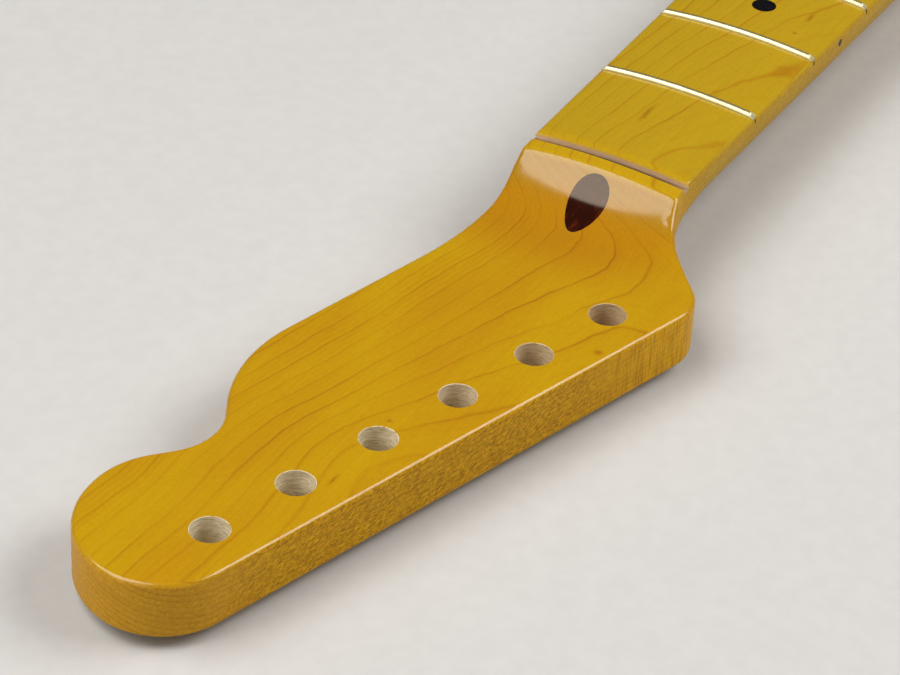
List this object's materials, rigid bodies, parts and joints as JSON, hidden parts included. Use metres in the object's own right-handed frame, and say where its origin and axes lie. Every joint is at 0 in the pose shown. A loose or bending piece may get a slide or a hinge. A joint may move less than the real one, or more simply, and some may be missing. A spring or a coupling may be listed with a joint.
{
  "type": "electric guitar neck",
  "caption": "Bolt-on electric guitar neck of solid maple, with frets, dot markers, an open nut slot, a scooped headstock with tuner holes in line, and a truss rod with its nut in the heel.",
  "frame": {"origin": "centre of the heel's flat back", "axes": "+X towards the headstock's tip, +Y towards the tuner side, +Z out of the fretboard"},
  "size_m": [0.6549, 0.079, 0.0265],
  "materials": {
    "maple": "one-piece maple under a glossy amber clear coat, raw pale wood in the holes and the nut slot",
    "walnut": "dark walnut under the same gloss",
    "nickel_silver": "polished nickel silver fret wire",
    "black_dot": "black plastic dots, flush and glossy",
    "steel": "plain turned steel"
  },
  "bodies": {
    "neck": {"neck_body": "maple", "fret_01": "nickel_silver", "fret_02": "nickel_silver", "fret_03": "nickel_silver", "fret_04": "nickel_silver", "fret_05": "nickel_silver", "fret_06": "nickel_silver", "fret_07": "nickel_silver", "fret_08": "nickel_silver", "fret_09": "nickel_silver", "fret_10": "nickel_silver", "fret_11": "nickel_silver", "fret_12": "nickel_silver", "fret_13": "nickel_silver", "fret_14": "nickel_silver", "fret_15": "nickel_silver", "fret_16": "nickel_silver", "fret_17": "nickel_silver", "fret_18": "nickel_silver", "fret_19": "nickel_silver", "fret_20": "nickel_silver", "fret_21": "nickel_silver", "face_dot_03": "black_dot", "face_dot_05": "black_dot", "face_dot_07": "black_dot", "face_dot_09": "black_dot", "face_dot_12a": "black_dot", "face_dot_12b": "black_dot", "face_dot_15": "black_dot", "face_dot_17": "black_dot", "face_dot_19": "black_dot", "face_dot_21": "black_dot", "side_dot_03": "black_dot", "side_dot_05": "black_dot", "side_dot_07": "black_dot", "side_dot_09": "black_dot", "side_dot_12a": "black_dot", "side_dot_12b": "black_dot", "side_dot_15": "black_dot", "side_dot_17": "black_dot", "side_dot_19": "black_dot", "side_dot_21": "black_dot", "headstock_plug": "walnut", "back_stripe": "walnut", "truss_rod": "steel", "rod_anchor": "steel", "rod_washer": "steel"},
    "rod_nut": {"truss_rod_nut": "steel"}
  },
  "joints": [
    {"name": "truss_rod_nut_turn", "type": "hinge", "parent": "neck", "child": "rod_nut", "pos_m": [-0.0307, 0, 0.0144], "axis": [1, 0, 0], "range_deg": [-360, 360]}
  ]
}
